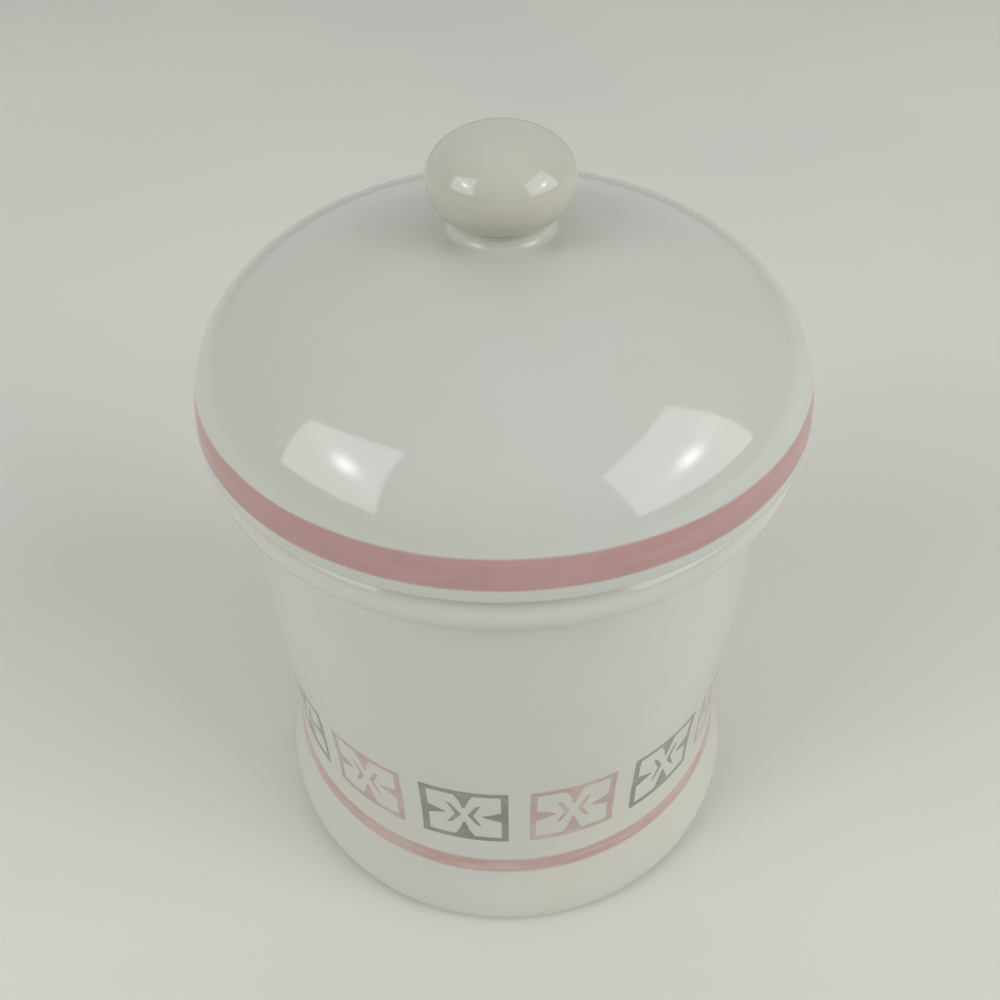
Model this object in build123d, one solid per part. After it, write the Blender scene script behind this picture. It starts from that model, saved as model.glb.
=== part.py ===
"""Lidded porcelain apothecary jar: cylindrical body, domed lid and flattened knob."""
import os
from math import acos, asin, copysign, cos, pi, sin

from build123d import *

# Driving sizes in mm: the lid's radius and the height of the land it sits on.
LID_R = 57.5
SEAT_Z = 111.8

# Rolled rim, its land and the mouth.
LID_OVERHANG = 0.7
BEAD_R = 4.7
BEAD_BLEND = 2.0
LAND = 2.5
MOUTH_ROUND = 1.5

# Wall below the rim, its swell, its waist and the flared foot.
WALL = 4.0
BELLY_SWELL = 0.2
BELLY_Z = 60.0
WAIST_IN = 0.7
WAIST_Z = 31.0
FLARE_MID = 0.22
FLARE_MID_Z = 19.4
FLARE_LOW = 0.7
FLARE_LOW_Z = 10.0
FOOT_SPREAD = 5.0
FOOT_WIDE_Z = 3.0

# Foot ring and floor.
RING_INSET = 2.4
RING_LAND = 5.5
RING_TAPER = 2.0
RING_ROUND = 1.0
RECESS = 2.6
FLOOR = 5.0
FLOOR_ROUND = 6.0

# Lid: a superellipse dome, the ledge behind its seat and the flange in the mouth.
DOME_SINK = 0.3
DOME_RISE = 32.4
DOME_POWER = 2.365
OVAL_STEPS = 10
LID_EDGE_ROUND = 1.5
LEDGE = 4.0
LEDGE_ROUND = 2.5
FLANGE_PLAY = 1.2
FLANGE_WALL = 3.6
FLANGE_DROP = 7.0
FLANGE_ROOT = 1.0
FLANGE_TIP = 1.5

# Stub on the crown of the lid, and the knob on top of it.
STUB_R = 8.5
STUB_RISE = 1.4
STUB_FILLET = 1.5
KNOB_R = 12.6
KNOB_RISE = 7.8
KNOB_DEPTH = 8.5
KNOB_POWER = 2.4
KNOB_NECK = 0.8
KNOB_BLEND = 0.7

# Radii and heights that follow from the sizes above.
NECK_R = LID_R - LID_OVERHANG - BEAD_R
BELLY_R = NECK_R + BELLY_SWELL
WAIST_R = NECK_R - WAIST_IN
FOOT_R = WAIST_R + FOOT_SPREAD
FLARE_MID_R = WAIST_R + FLARE_MID * FOOT_SPREAD
FLARE_LOW_R = WAIST_R + FLARE_LOW * FOOT_SPREAD
RING_OUT_R = FOOT_R - RING_INSET
RING_IN_R = RING_OUT_R - RING_LAND
FLOOR_Z = RECESS + FLOOR
BEAD_Z = SEAT_Z - BEAD_R
BEAD_LOW_Z = BEAD_Z - BEAD_R
MOUTH_R = NECK_R - WALL
MOUTH_LOW_Z = SEAT_Z - MOUTH_ROUND - LAND
FLANGE_R = MOUTH_R - FLANGE_PLAY
FLANGE_IN_R = FLANGE_R - FLANGE_WALL
FLANGE_Z = SEAT_Z - FLANGE_DROP
LEDGE_Z = SEAT_Z + LEDGE
DOME_BASE_Z = SEAT_Z - DOME_SINK
JOINT_Z = DOME_BASE_Z + DOME_RISE + STUB_RISE
KNOB_LOW_Z = JOINT_Z + KNOB_NECK
KNOB_Z = KNOB_LOW_Z + KNOB_DEPTH * (1 - (STUB_R / KNOB_R) ** KNOB_POWER) ** (1 / KNOB_POWER)


def revolved(name, wires, rounds):
    """Turns a closed outline in the XZ plane about Z, after rounding the named corners."""
    with BuildPart() as part:
        with BuildSketch(Plane.XZ) as sketch:
            with BuildLine():
                wires()
            make_face()
            for (x, z), radius in rounds:
                corner = sketch.vertices().sort_by_distance((x, z, 0))[0]
                fillet(corner, radius)
        revolve(axis=Axis.Z)
    solid = part.part.solid()
    solid.label = name
    return solid


def jar_outline():
    """Foot ring, flared foot, nearly straight wall, rolled bead and the hollow inside."""
    Polyline((0, FLOOR_Z), (0, RECESS), (RING_IN_R - RING_TAPER, RECESS), (RING_IN_R, 0), (RING_OUT_R, 0))
    TangentArc((FOOT_R, FOOT_WIDE_Z), (RING_OUT_R, 0), tangent=(0, -1))
    Spline((FOOT_R, FOOT_WIDE_Z), (FLARE_LOW_R, FLARE_LOW_Z), (FLARE_MID_R, FLARE_MID_Z), (WAIST_R, WAIST_Z),
           (BELLY_R, BELLY_Z), (NECK_R, BEAD_LOW_Z), tangents=((0, 1), (0, 1)))
    ThreePointArc((NECK_R, BEAD_LOW_Z), (NECK_R + BEAD_R, BEAD_Z), (NECK_R, SEAT_Z))
    Polyline((NECK_R, SEAT_Z), (MOUTH_R, SEAT_Z), (MOUTH_R, MOUTH_LOW_Z))
    Spline((MOUTH_R, MOUTH_LOW_Z), (BELLY_R - WALL, BELLY_Z), (WAIST_R - WALL, WAIST_Z),
           (FLARE_MID_R - WALL, FLARE_MID_Z), (FLARE_LOW_R - WALL, FLOOR_Z), tangents=((0, -1), (0.3, -1)))
    Line((FLARE_LOW_R - WALL, FLOOR_Z), (0, FLOOR_Z))


def jar_body():
    rounds = [((NECK_R, BEAD_LOW_Z), BEAD_BLEND), ((MOUTH_R, SEAT_Z), MOUTH_ROUND),
              ((FLARE_LOW_R - WALL, FLOOR_Z), FLOOR_ROUND),
              ((RING_IN_R - RING_TAPER, RECESS), RING_ROUND), ((RING_IN_R, 0), RING_ROUND)]
    return revolved("jar_body", jar_outline, rounds)


def oval(radius, rise, base_z, power, start, end):
    """Points on a superellipse about (0, base_z), between two angles in radians."""
    points = []
    for step in range(OVAL_STEPS + 1):
        angle = start + (end - start) * step / OVAL_STEPS
        up = copysign(abs(sin(angle)) ** (2 / power), angle)
        points.append((radius * cos(angle) ** (2 / power), base_z + rise * up))
    return points


def dome(inset, low_z, top_r):
    """Dome section moved in by inset, from the height low_z to the radius top_r."""
    radius, rise = LID_R - inset, DOME_RISE - inset
    start = asin(((low_z - DOME_BASE_Z) / rise) ** (DOME_POWER / 2))
    end = acos((top_r / radius) ** (DOME_POWER / 2))
    return oval(radius, rise, DOME_BASE_Z, DOME_POWER, start, end)


def lid_corners():
    """Corners where the dome meets the seat, the stub and the ledge inside."""
    outer = dome(0, SEAT_Z, STUB_R)
    inner = dome(WALL, LEDGE_Z, 0)
    return outer, inner


def lid_outline():
    """Dome with its stub, the flat seat, the flange that drops into the mouth and the hollow."""
    outer, inner = lid_corners()
    Polyline(inner[-1], (0, JOINT_Z), (STUB_R, JOINT_Z), outer[-1])
    Spline(*outer)
    Polyline(outer[0], (FLANGE_R, SEAT_Z), (FLANGE_R, FLANGE_Z), (FLANGE_IN_R, FLANGE_Z),
             (FLANGE_IN_R, LEDGE_Z), inner[0])
    Spline(*inner)


def lid_dome():
    outer, inner = lid_corners()
    rounds = [(outer[0], LID_EDGE_ROUND), (outer[-1], STUB_FILLET), ((FLANGE_R, SEAT_Z), FLANGE_ROOT),
              ((FLANGE_R, FLANGE_Z), FLANGE_TIP), ((FLANGE_IN_R, FLANGE_Z), FLANGE_TIP),
              ((FLANGE_IN_R, LEDGE_Z), LEDGE_ROUND), (inner[0], LEDGE_ROUND)]
    return revolved("lid_dome", lid_outline, rounds)


def knob_outline():
    """Short neck that carries on from the stub, and a flattened ball that is fuller below."""
    low_angle = acos((STUB_R / KNOB_R) ** (KNOB_POWER / 2))
    lower = oval(KNOB_R, KNOB_DEPTH, KNOB_Z, KNOB_POWER, -low_angle, 0)
    ball = lower[:-1] + oval(KNOB_R, KNOB_RISE, KNOB_Z, 2, 0, pi / 2)
    Spline(*ball)
    Polyline(ball[-1], (0, JOINT_Z), (STUB_R, JOINT_Z), ball[0])


def lid_knob():
    return revolved("lid_knob", knob_outline, [((STUB_R, KNOB_LOW_Z), KNOB_BLEND)])


os.makedirs("parts", exist_ok=True)
export_step(jar_body(), "parts/jar_body.step")
export_step(lid_dome(), "parts/lid_dome.step")
export_step(lid_knob(), "parts/lid_knob.step")
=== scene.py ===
"""Looks for the lidded porcelain jar: turned glaze pieces, enamel, motifs, floor, light panels and camera."""

import math
import random
from collections import namedtuple

import bpy
from mathutils import Matrix, Vector
from mathutils.geometry import delaunay_2d_cdt


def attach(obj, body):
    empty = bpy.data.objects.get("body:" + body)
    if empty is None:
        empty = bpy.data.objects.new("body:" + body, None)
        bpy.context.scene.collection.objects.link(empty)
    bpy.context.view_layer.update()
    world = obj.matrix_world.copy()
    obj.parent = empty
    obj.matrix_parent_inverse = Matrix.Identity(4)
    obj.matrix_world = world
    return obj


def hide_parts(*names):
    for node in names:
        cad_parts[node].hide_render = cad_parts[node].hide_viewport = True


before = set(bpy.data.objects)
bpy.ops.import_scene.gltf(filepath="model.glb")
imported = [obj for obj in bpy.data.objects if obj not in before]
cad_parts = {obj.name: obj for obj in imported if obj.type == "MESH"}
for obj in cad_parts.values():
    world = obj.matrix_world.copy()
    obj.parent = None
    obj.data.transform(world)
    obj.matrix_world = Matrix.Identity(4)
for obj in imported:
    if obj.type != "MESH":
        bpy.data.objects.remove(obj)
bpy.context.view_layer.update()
scene = bpy.context.scene
scene.view_settings.view_transform = "Standard"

MM = 0.001
UP = Vector((0, 0, 1))

# Camera, in metres and radians, from the fit to the photograph.
SENSOR_MM = 36
IMAGE_PIXELS = 1000
FOCAL_PIXELS = 950
CAMERA_AT = Vector((-0.00897, -0.149845, 0.219908))
PITCH, YAW, ROLL = 0.7497, 0.0533, -0.0146

# How finely the turned pieces are made. ROW and ROW_TURN are the longest step and turn along the outline,
# and AROUND the steps round the axis. An edge that turns by more than CORNER stays sharp. A run that a
# curve through its ends would lift by more than SAGITTA is straight. SNAP is the grid that joins points.
ROW = 0.8 * MM
ROW_TURN = math.radians(6)
AROUND = 288
AROUND_KNOB = 160
CORNER = math.radians(40)
SAGITTA = 0.045 * MM
SNAP = 0.0005 * MM

# Two tones each: cool and warm in a glaze, full and thin in an enamel, light and dark in clay and floor.
JAR_TONES = (0.605, 0.615, 0.575), (0.62, 0.615, 0.553)
LID_TONES = (0.565, 0.592, 0.548), (0.575, 0.588, 0.53)
KNOB_TONES = (0.55, 0.55, 0.49), (0.54, 0.53, 0.46)
BAND_TONES = (0.46, 0.27, 0.26), (0.52, 0.34, 0.325)
LINE_TONES = (0.50, 0.34, 0.31), (0.57, 0.45, 0.41)
GREY_TONES = (0.235, 0.24, 0.205), (0.36, 0.37, 0.33)
PINK_TONES = (0.50, 0.36, 0.34), (0.56, 0.47, 0.43)
CLAY_TONES = (0.56, 0.53, 0.47), (0.45, 0.42, 0.36)
FLOOR_TONES = (0.73, 0.73, 0.665), (0.69, 0.69, 0.645)
PINHOLE_TONE = (0.16, 0.15, 0.13)
GLAZE_IOR = 1.5

# Enamel stripes: from and up to which height, outside which radius, how streaky and how soft at the edges.
Stripe = namedtuple("Stripe", "low high hollow tones streaks soft")
BAND = Stripe(115.2 * MM, 120.75 * MM, 54.0 * MM, BAND_TONES, 0.45, 0.3 * MM)
LINE = Stripe(17.5 * MM, 21.7 * MM, 50.0 * MM, LINE_TONES, 0.8, 0.45 * MM)
STRIPE_SWAY = 0.5 * MM

# Bare clay: all of the foot ring below the first height and none above the second, and the lid's seat,
# at which height and between which radii.
FOOT_BARE = (0.5 * MM, 1.0 * MM)
FOOT_SWAY = 0.8 * MM
SEAT_Z = 111.8 * MM
SEAT_BARE = (47.6 * MM, 56.2 * MM)

# Motifs, evenly round the wall: heights, width, the first one's angle from the front, and how far proud.
MOTIFS = 14
MOTIF_Z = (28.6 * MM, 48.0 * MM)
MOTIF_WIDE = math.radians(20.7)
MOTIF_FIRST = math.radians(-13.6)
MOTIF_PROUD = 0.02 * MM

# One motif, in -1 to 1 both ways: the frame's inner edges, the half width of each wedge and how far out it is
# there, one chevron, how far the hand strays, and the grid that keeps its mesh on the curve of the wall.
FRAME_SIDE, FRAME_TOP = 0.85, 0.84
TALL_WEDGE = [(0.30, 1), (0.22, FRAME_TOP), (0.12, 0.62), (0.03, 0.30)]
WIDE_WEDGE = [(0.30, 1), (0.20, FRAME_SIDE), (0.12, 0.66), (0.02, 0.42)]
CHEVRON = [(0.08, 0.0), (0.29, 0.42), (0.39, 0.46), (0.21, 0.0), (0.39, -0.42), (0.29, -0.38)]
STRAY = 0.02
GRID_ACROSS, GRID_UP = 20, 12
JOIN_WITHIN = 1e-5

FLOOR_HALF = 4

# The room's light towards the right, left, back, front and top: axis, sign and level.
ROOM = [(0, 1, 0.30), (0, -1, 0.30), (1, 1, 0.60), (1, -1, 0.20), (2, 1, 0.55)]
ROOM_COLOUR = (0.98, 0.98, 0.97, 1)

# Light panels: degrees to the right of the front and up, then corners and hot spot in metres on the face,
# then the level all over, in the hot spot and in the streak through it, and the streak's turn and length.
Panel = namedtuple("Panel", "azimuth elevation corners hot fill core shine turn length")
PANELS = {
    "panel_left": Panel(-68, 31, [(-0.521, 0.257), (0.254, 0.682), (0.665, -0.497), (-0.417, -0.547)],
                        (0.066, 0.054), 2.75, 8.5, 0.9, math.radians(-25), 0.5),
    "panel_right": Panel(66, 27, [(-0.681, 0.491), (0.402, 0.709), (0.654, -0.556), (-0.816, -0.536)],
                         (-0.004, -0.027), 2.5, 9.0, 1.1, math.radians(20), 0.6),
}
PANEL_TARGET = Vector((0, 0, 0.12))
PANEL_DISTANCE = 1.5
PANEL_SOFT = 0.03
HOT_LENGTH, HOT_WIDTH = 0.13, 0.09
STREAK_WIDTH = 0.12


def add_camera():
    forward = Vector((math.sin(YAW) * math.cos(PITCH), math.cos(YAW) * math.cos(PITCH), -math.sin(PITCH)))
    level = forward.cross(UP).normalized()
    upright = level.cross(forward)
    right = level * math.cos(ROLL) + upright * math.sin(ROLL)
    up = upright * math.cos(ROLL) - level * math.sin(ROLL)
    data = bpy.data.cameras.new("camera")
    data.sensor_width = SENSOR_MM
    data.lens = SENSOR_MM * FOCAL_PIXELS / IMAGE_PIXELS
    data.clip_start, data.clip_end = 0.01, 20
    camera = bpy.data.objects.new("camera", data)
    turn = Matrix((right, up, -forward)).transposed().to_4x4()
    camera.matrix_world = Matrix.Translation(CAMERA_AT) @ turn
    scene.collection.objects.link(camera)
    scene.camera = camera


class Tree:
    """Short calls for building a node tree."""

    def __init__(self, tree):
        self.tree = tree

    def add(self, kind, **settings):
        node = self.tree.nodes.new(kind)
        for key, value in settings.items():
            setattr(node, key, value)
        return node

    def put(self, socket, value):
        if isinstance(value, bpy.types.NodeSocket):
            self.tree.links.new(value, socket)
        else:
            socket.default_value = value

    def fill(self, node, values):
        for socket, value in zip(node.inputs, values):
            self.put(socket, value)

    def math(self, operation, *values):
        node = self.add("ShaderNodeMath", operation=operation)
        self.fill(node, values)
        return node.outputs[0]

    def times(self, first, second):
        return self.math("MULTIPLY", first, second)

    def plus(self, first, second):
        return self.math("ADD", first, second)

    def vector(self, operation, output, *values):
        node = self.add("ShaderNodeVectorMath", operation=operation)
        self.fill(node, values)
        return node.outputs[output]

    def ramp(self, value, low, high, to_low=0.0, to_high=1.0):
        """A smooth rise from to_low at low to to_high at high, or a fall where low is above high."""
        node = self.add("ShaderNodeMapRange", interpolation_type="SMOOTHSTEP")
        ends = {"Value": value, "From Min": low, "From Max": high, "To Min": to_low, "To Max": to_high}
        for name, item in ends.items():
            self.put(node.inputs[name], item)
        return node.outputs[0]


class Nodes(Tree):
    """One material's node tree, with its shader."""

    def __init__(self, name):
        self.material = bpy.data.materials.new(name)
        self.material.use_nodes = True
        super().__init__(self.material.node_tree)
        self.shader = self.tree.nodes["Principled BSDF"]
        self.place = self.add("ShaderNodeTexCoord").outputs["Object"]
        self.split = self.add("ShaderNodeSeparateXYZ")
        self.put(self.split.inputs[0], self.place)

    def mix(self, factor, first, second):
        node = self.add("ShaderNodeMix", data_type="RGBA")
        self.put(node.inputs[0], factor)
        for socket, colour in zip(node.inputs[6:8], (first, second)):
            self.put(socket, colour if isinstance(colour, bpy.types.NodeSocket) else (*colour, 1))
        return node.outputs[2]

    def noise(self, scale, detail=2.0, stretch=(1, 1, 1), offset=0.0):
        """Noise from 0 to 1. The offset moves the pattern away from those of the other layers."""
        at = self.add("ShaderNodeMapping")
        self.put(at.inputs["Vector"], self.place)
        at.inputs["Scale"].default_value = stretch
        at.inputs["Location"].default_value = (offset, offset * 1.7, offset * 0.3)
        node = self.add("ShaderNodeTexNoise")
        self.put(node.inputs["Vector"], at.outputs[0])
        node.inputs["Scale"].default_value = scale
        node.inputs["Detail"].default_value = detail
        return node.outputs[0]

    def radius(self):
        x, y = self.split.outputs[0], self.split.outputs[1]
        return self.math("SQRT", self.plus(self.times(x, x), self.times(y, y)))

    def between(self, value, low, high, soft):
        """1 between low and high, with soft edges."""
        rise = self.ramp(value, low - soft, low + soft)
        return self.times(rise, self.ramp(value, high + soft, high - soft))

    def wavy_height(self, sway):
        """The height, pushed up and down a little along the way round, as a brush wavers."""
        waver = self.math("SUBTRACT", self.noise(45, detail=3.0, offset=2.1), 0.5)
        return self.plus(self.split.outputs[2], self.times(waver, sway))

    def bump(self, *layers):
        """Layers of (height 0 to 1, depth in metres), added up."""
        total = None
        for height, depth in layers:
            part = self.times(height, depth)
            total = part if total is None else self.plus(total, part)
        node = self.add("ShaderNodeBump")
        node.inputs["Strength"].default_value = 1.0
        node.inputs["Distance"].default_value = 1.0
        self.put(node.inputs["Height"], total)
        self.put(self.shader.inputs["Normal"], node.outputs[0])

    def glazed(self, colour, rough):
        """The shader's colour and roughness, with the glaze's slow ripple and fine orange peel."""
        self.put(self.shader.inputs["Base Color"], colour)
        self.put(self.shader.inputs["Roughness"], rough)
        self.shader.inputs["IOR"].default_value = GLAZE_IOR
        self.bump((self.noise(38), 0.05 * MM), (self.noise(170, offset=0.3), 0.006 * MM),
                  (self.noise(700, detail=1.0), 0.0006 * MM))
        return self.material


def darker(colour, share):
    return tuple(c * share for c in colour)


def pinholes(n, scale, size, share):
    """Sparse pinholes in the glaze, in this share of a pattern's cells: 1 inside one, 0 elsewhere."""
    cells = n.add("ShaderNodeTexVoronoi")
    n.put(cells.inputs["Vector"], n.place)
    cells.inputs["Scale"].default_value = scale
    chosen = n.add("ShaderNodeSeparateColor")
    n.put(chosen.inputs[0], cells.outputs["Color"])
    near = n.ramp(cells.outputs["Distance"], size, size * 0.4)
    return n.times(near, n.math("LESS_THAN", chosen.outputs[0], share))


def stripe_tone(n, tones, streaks):
    """Fired colour laid on a little unevenly: full where it is thick, thin where the brush ran out."""
    full, thin = tones
    laid = n.ramp(n.noise(1.0, detail=3.0, stretch=(70, 70, 500), offset=0.9), 0.35, 0.7, 0.0, streaks)
    tone = n.mix(laid, full, thin)
    pooled = n.ramp(n.noise(210, detail=3.0, offset=0.4), 0.5, 0.8, 0.0, 0.3)
    return n.mix(pooled, tone, darker(full, 0.88))


def foot_bare(n):
    """1 on the bare foot ring."""
    low, high = FOOT_BARE
    return n.ramp(n.wavy_height(FOOT_SWAY), high, low)


def seat_bare(n):
    """1 on the bare ring that the lid rests on."""
    level = n.between(n.split.outputs[2], SEAT_Z - 0.2 * MM, SEAT_Z + 0.2 * MM, 0.1 * MM)
    return n.times(level, n.between(n.radius(), *SEAT_BARE, 0.3 * MM))


def glaze(name, tones, stripe=None, bare_part=None):
    """Clear gloss over off-white porcelain: slow drifts of tone, pinholes, an enamel stripe and bare clay."""
    n = Nodes(name)
    cool, warm = tones
    drift = n.ramp(n.noise(16), 0.35, 0.65)
    colour = n.mix(drift, cool, warm)
    cloud = n.ramp(n.noise(90, detail=4.0, offset=0.7), 0.3, 0.75, 0.0, 0.3)
    colour = n.mix(cloud, colour, darker(warm, 0.94))
    if stripe:
        level = n.between(n.wavy_height(STRIPE_SWAY), stripe.low, stripe.high, stripe.soft)
        outside = n.ramp(n.radius(), stripe.hollow, stripe.hollow + 1.0 * MM)
        colour = n.mix(n.times(level, outside), colour, stripe_tone(n, stripe.tones, stripe.streaks))
    holes = pinholes(n, scale=75, size=0.022, share=0.10)
    colour = n.mix(n.times(holes, 0.5), colour, PINHOLE_TONE)
    rough = n.ramp(n.noise(55, detail=3.0, offset=1.3), 0.3, 0.7, 0.045, 0.08)
    if bare_part:
        bare = bare_part(n)
        clay = n.mix(n.ramp(n.noise(900, detail=3.0), 0.35, 0.7), *CLAY_TONES)
        colour = n.mix(bare, colour, clay)
        rough = n.ramp(bare, 0.0, 1.0, rough, 0.75)
    return n.glazed(colour, rough)


def enamel(name, tones, worn):
    """The motifs' fired colour, worn thin in places."""
    n = Nodes(name)
    full, thin = tones
    wear = n.ramp(n.noise(150, detail=3.0, offset=5.0), 0.4, 0.75, 0.0, worn)
    tone = n.mix(wear, full, thin)
    grain = n.ramp(n.noise(900), 0.45, 0.8, 0.0, 0.35)
    tone = n.mix(grain, tone, darker(full, 0.85))
    return n.glazed(tone, n.ramp(n.noise(120), 0.3, 0.7, 0.07, 0.13))


def seam_links(mesh):
    """Which points of the mesh follow each other in the half plane y = 0, x > 0, on the grid of SNAP."""
    links = {}
    for edge in mesh.edges:
        ends = [mesh.vertices[i].co for i in edge.vertices]
        if all(abs(p.y) < SNAP and p.x > -SNAP for p in ends):
            a, b = [(round(p.x / SNAP), round(p.z / SNAP)) for p in ends]
            if a != b:
                links.setdefault(a, set()).add(b)
                links.setdefault(b, set()).add(a)
    return links


def seam_outline(node):
    """The turned node's outline as (r, z) vectors in order, from the axis out, round and back to the axis.
    A flat face may have no edge on the seam: its two open ends are joined, or the one end and the axis."""
    links = seam_links(node.data)
    loose = [p for p, near in links.items() if len(near) == 1 and p[0] > 0]
    loose.sort(key=lambda p: (p[1], p[0]))
    while loose:
        end = loose.pop(0)
        mate = loose.pop(0) if loose and abs(loose[0][1] - end[1]) < 2 else (0, end[1])
        links[end].add(mate)
        links.setdefault(mate, set()).add(end)
    here = min((p for p in links if p[0] == 0), key=lambda p: p[1])
    line, before = [here], None
    while len(line) == 1 or here[0] > 0:
        here, before = next(p for p in links[here] if p != before), here
        line.append(here)
    return [Vector((r * SNAP, z * SNAP)) for r, z in line]


def joint_tangent(first, second):
    """The direction of a curve where two runs of its points meet."""
    return (first.normalized() * second.length + second.normalized() * first.length).normalized()


def fine_line(points):
    """A finer line through the outline's points, curved where they lie on a curve."""
    runs = [b - a for a, b in zip(points, points[1:])]
    fine = []
    for i, run in enumerate(runs):
        start = end = run.normalized()
        if i > 0 and runs[i - 1].angle(run) < CORNER:
            start = joint_tangent(runs[i - 1], run)
        if i + 1 < len(runs) and run.angle(runs[i + 1]) < CORNER:
            end = joint_tangent(run, runs[i + 1])
        turn = start.angle(end)
        if turn * run.length / 8 > SAGITTA:
            start = end = run.normalized()
        parts = max(math.ceil(run.length / ROW), math.ceil(turn / ROW_TURN))
        for part in range(parts):
            t = part / parts
            from_start = points[i] + start * run.length * t * (1 - t) ** 2
            fine.append(from_start + run * (3 - 2 * t) * t * t - end * run.length * t * t * (1 - t))
    fine.append(points[-1])
    return fine


def radius_at(line, z):
    """The outer radius of a turned outline at a height."""
    found = []
    for a, b in zip(line, line[1:]):
        if min(a.y, b.y) <= z <= max(a.y, b.y) and a.y != b.y:
            found.append(a.x + (b.x - a.x) * (z - a.y) / (b.y - a.y))
    return max(found)


def mesh_piece(name, points, faces, material, body):
    """A smooth piece with sharp corners, riding on a body."""
    mesh = bpy.data.meshes.new(name)
    mesh.from_pydata(points, [], faces)
    mesh.shade_smooth()
    mesh.set_sharp_from_angle(angle=CORNER)
    mesh.materials.append(material)
    mesh.update()
    piece = bpy.data.objects.new(name, mesh)
    scene.collection.objects.link(piece)
    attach(piece, body)
    return piece


def turned_piece(name, node, around, material, body):
    """The node's outline turned finely about the axis, in the node's place. Returns the fine outline."""
    line = fine_line(seam_outline(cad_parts[node]))
    rings = line[1:-1]
    points = [(0, 0, line[0].y)]
    for r, z in rings:
        for step in range(around):
            angle = math.tau * step / around
            points.append((r * math.cos(angle), r * math.sin(angle), z))
    points.append((0, 0, line[-1].y))
    faces = []
    for step in range(around):
        after = (step + 1) % around
        faces.append((0, 1 + after, 1 + step))
        for row in range(len(rings) - 1):
            low, high = 1 + row * around, 1 + (row + 1) * around
            faces.append((low + step, low + after, high + after, high + step))
        last = 1 + (len(rings) - 1) * around
        faces.append((last + step, last + after, len(points) - 1))
    piece = mesh_piece(name, points, faces, material, body)
    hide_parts(node)
    return line


def motif_shapes(rng):
    """The coloured parts of one square motif: the frame's four bars, four wedges and two chevrons."""
    def near(x, y):
        return (x + rng.uniform(-STRAY, STRAY), y + rng.uniform(-STRAY, STRAY))

    def wedge(profile, place):
        """The outline of one wedge, whose third width on either side strays."""
        sides = [(-half, out) for half, out in profile] + [(half, out) for half, out in reversed(profile)]
        stray_out = profile[2][1]
        return [near(*place(half, out)) if out == stray_out else place(half, out) for half, out in sides]

    side, top = FRAME_SIDE, FRAME_TOP
    shapes = [[(-1, -1), (1, -1), near(1, -top), near(-1, -top)],
              [(-1, 1), (1, 1), near(1, top), near(-1, top)],
              [(-1, -1), (-1, 1), near(-side, 1), near(-side, -1)],
              [(1, -1), (1, 1), near(side, 1), near(side, -1)]]
    for sign in (-1, 1):
        shapes.append(wedge(TALL_WEDGE, lambda half, out: (half, sign * out)))
        shapes.append(wedge(WIDE_WEDGE, lambda half, out: (sign * out, half)))
        notch = CHEVRON[3]
        shapes.append([(sign * x, y) if (x, y) == notch else near(sign * x, y) for x, y in CHEVRON])
    return shapes


def dense(shape, step):
    """The shape's outline with points no further apart than step."""
    points = []
    for (x0, y0), (x1, y1) in zip(shape, shape[1:] + shape[:1]):
        parts = max(1, math.ceil(math.hypot(x1 - x0, y1 - y0) / step))
        points += [(x0 + (x1 - x0) * i / parts, y0 + (y1 - y0) * i / parts) for i in range(parts)]
    return points


def inside(point, shape):
    """Whether a point lies in a closed shape."""
    hit = False
    for (x0, y0), (x1, y1) in zip(shape, shape[1:] + shape[:1]):
        if (y0 > point.y) != (y1 > point.y) and point.x < x0 + (x1 - x0) * (point.y - y0) / (y1 - y0):
            hit = not hit
    return hit


def motif_mesh(rng):
    """Points and triangles that fill the motif's coloured parts. Triangles in its gaps are left out."""
    shapes = motif_shapes(rng)
    flat = [Vector((-1 + 2 * i / GRID_ACROSS, -1 + 2 * j / GRID_UP))
            for i in range(1, GRID_ACROSS) for j in range(1, GRID_UP)]
    outlines = []
    for shape in shapes:
        points = dense(shape, 2 / GRID_ACROSS)
        outlines.append(list(range(len(flat), len(flat) + len(points))))
        flat += [Vector(p) for p in points]
    points, _, faces, *_ = delaunay_2d_cdt(flat, [], outlines, 1, JOIN_WITHIN)
    middles = [sum((points[i] for i in face), Vector((0, 0))) / len(face) for face in faces]
    faces = [face for face, middle in zip(faces, middles) if any(inside(middle, shape) for shape in shapes)]
    used = sorted({i for face in faces for i in face})
    renumber = {old: new for new, old in enumerate(used)}
    return [points[i] for i in used], [[renumber[i] for i in face] for face in faces]


def motif_piece(name, wall, places, material, body):
    """The motifs at the given places round the wall, as one piece on the wall."""
    points, faces = [], []
    low, high = MOTIF_Z
    for index in places:
        flat, triangles = motif_mesh(random.Random(name + str(index)))
        centre = MOTIF_FIRST + math.tau / MOTIFS * index
        start = len(points)
        for u, v in flat:
            angle = centre + u * MOTIF_WIDE / 2
            z = (low + high) / 2 + v * (high - low) / 2
            r = radius_at(wall, z) + MOTIF_PROUD
            points.append((r * math.sin(angle), -r * math.cos(angle), z))
        for face in triangles:
            a, b, c = (flat[i] for i in face)
            turn = (b - a).cross(c - a)
            faces.append([start + i for i in (face if turn > 0 else reversed(face))])
    mesh_piece(name, points, faces, material, body)


def add_floor():
    n = Nodes("floor")
    tone = n.mix(n.ramp(n.noise(3.0, detail=3.0), 0.3, 0.7), *FLOOR_TONES)
    n.put(n.shader.inputs["Base Color"], tone)
    n.shader.inputs["Roughness"].default_value = 0.7
    mesh = bpy.data.meshes.new("floor")
    corners = [(-1, -1), (1, -1), (1, 1), (-1, 1)]
    mesh.from_pydata([(x * FLOOR_HALF, y * FLOOR_HALF, 0) for x, y in corners], [], [(0, 1, 2, 3)])
    mesh.materials.append(n.material)
    floor = bpy.data.objects.new("floor", mesh)
    scene.collection.objects.link(floor)


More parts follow.
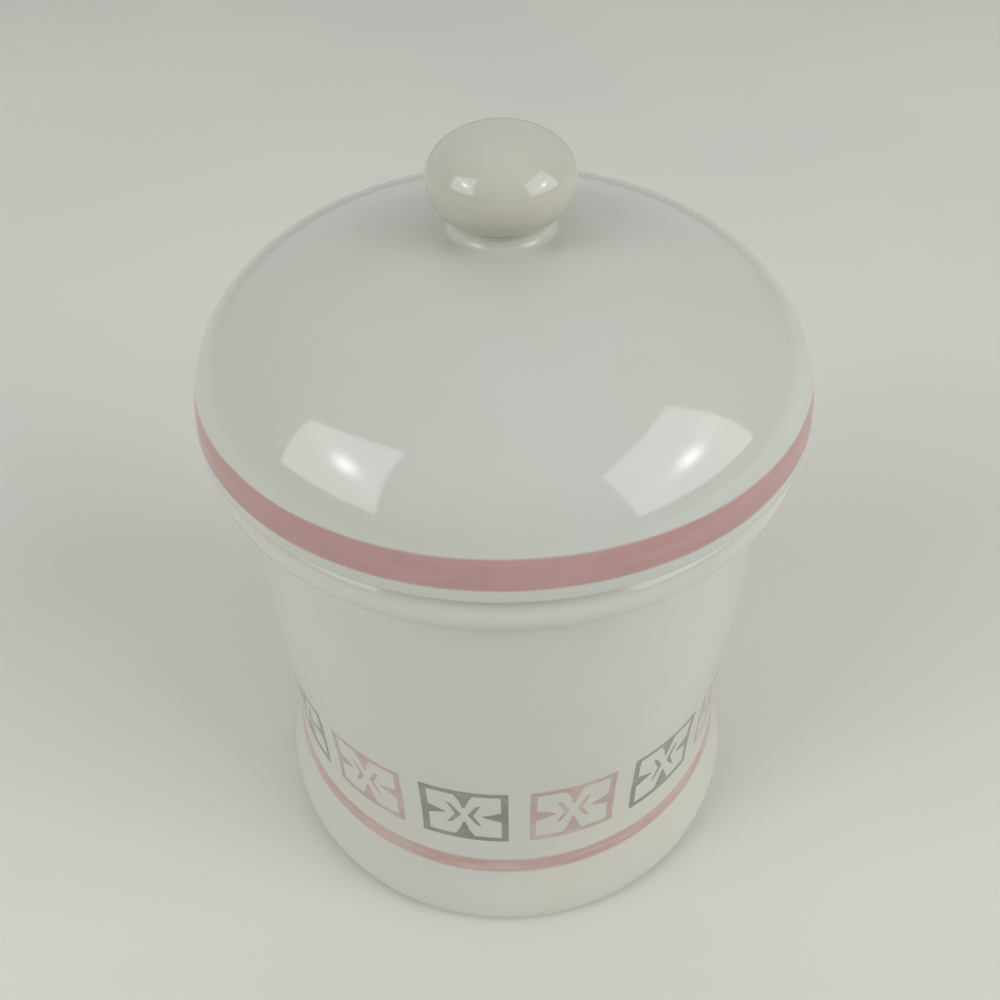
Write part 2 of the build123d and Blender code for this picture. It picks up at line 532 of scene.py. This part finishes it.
def add_panel(name, panel):
    """A lit diffuser: an area lamp that shines inside a polygon, most where the bulb is behind it."""
    a, e = math.radians(panel.azimuth), math.radians(panel.elevation)
    out = Vector((math.sin(a) * math.cos(e), -math.cos(a) * math.cos(e), math.sin(e)))
    centre = PANEL_TARGET + out * PANEL_DISTANCE
    across = UP.cross(out).normalized()
    upright = out.cross(across)
    data = bpy.data.lights.new(name, "AREA")
    data.shape = "RECTANGLE"
    data.size = 2 * max(abs(x) for x, y in panel.corners)
    data.size_y = 2 * max(abs(y) for x, y in panel.corners)
    data.energy = math.pi * data.size * data.size_y
    data.use_nodes = True
    n = Tree(data.node_tree)
    place = n.vector("SUBTRACT", 0, n.add("ShaderNodeNewGeometry").outputs["Position"], centre)
    x = n.vector("DOT_PRODUCT", 1, place, across)
    y = n.vector("DOT_PRODUCT", 1, place, upright)

    def along(direction, origin):
        """How far a point of the face is from the origin, along a direction on the face."""
        off_x = n.times(n.math("SUBTRACT", x, origin[0]), direction[0])
        off_y = n.times(n.math("SUBTRACT", y, origin[1]), direction[1])
        return n.plus(off_x, off_y)

    def bell(distance, spread):
        """1 at no distance, falling off smoothly."""
        ratio = n.math("DIVIDE", distance, spread)
        return n.math("EXPONENT", n.times(n.math("POWER", ratio, 2), -1))

    lit = 1.0
    for (x0, y0), (x1, y1) in zip(panel.corners, panel.corners[1:] + panel.corners[:1]):
        size = math.hypot(x1 - x0, y1 - y0)
        inward = ((y1 - y0) / size, -(x1 - x0) / size)
        lit = n.times(lit, n.ramp(along(inward, (x0, y0)), 0.0, PANEL_SOFT))
    main = (math.cos(panel.turn), math.sin(panel.turn))
    side = (-math.sin(panel.turn), math.cos(panel.turn))
    spot = n.times(bell(along(main, panel.hot), HOT_LENGTH), bell(along(side, panel.hot), HOT_WIDTH))
    streak = n.times(bell(along(main, panel.hot), panel.length), bell(along(side, panel.hot), STREAK_WIDTH))
    level = n.plus(n.plus(n.times(spot, panel.core), n.times(streak, panel.shine)), panel.fill)
    n.put(data.node_tree.nodes["Emission"].inputs["Strength"], n.times(lit, level))
    lamp = bpy.data.objects.new(name, data)
    lamp.matrix_world = Matrix.Translation(centre) @ Matrix((across, upright, out)).transposed().to_4x4()
    scene.collection.objects.link(lamp)


def add_world():
    """A pale room, a little brighter or darker by direction."""
    world = bpy.data.worlds.new("room")
    world.use_nodes = True
    n = Tree(world.node_tree)
    split = n.add("ShaderNodeSeparateXYZ")
    n.put(split.inputs[0], n.add("ShaderNodeTexCoord").outputs["Generated"])
    total = 0.0
    for axis, sign, level in ROOM:
        side = n.math("MAXIMUM", n.times(split.outputs[axis], sign), 0.0)
        total = n.plus(n.times(n.times(side, side), level), total)
    background = world.node_tree.nodes["Background"]
    background.inputs["Color"].default_value = ROOM_COLOUR
    n.put(background.inputs["Strength"], total)
    scene.world = world


add_camera()
add_world()
add_floor()
for panel_name, panel in PANELS.items():
    add_panel(panel_name, panel)

jar_glaze = glaze("jar_glaze", JAR_TONES, LINE, foot_bare)
lid_glaze = glaze("lid_glaze", LID_TONES, BAND, seat_bare)
knob_glaze = glaze("knob_glaze", KNOB_TONES)
jar_line = turned_piece("jar_body_glazed", "jar_body", AROUND, jar_glaze, "jar")
turned_piece("lid_dome_glazed", "lid_dome", AROUND, lid_glaze, "lid")
turned_piece("lid_knob_glazed", "lid_knob", AROUND_KNOB, knob_glaze, "lid")

grey = enamel("grey_enamel", GREY_TONES, worn=0.6)
pink = enamel("pink_enamel", PINK_TONES, worn=0.9)
motif_piece("grey_motifs", jar_line, range(-6, 7, 2), grey, "jar")
motif_piece("pink_motifs", jar_line, range(-5, 8, 2), pink, "jar")
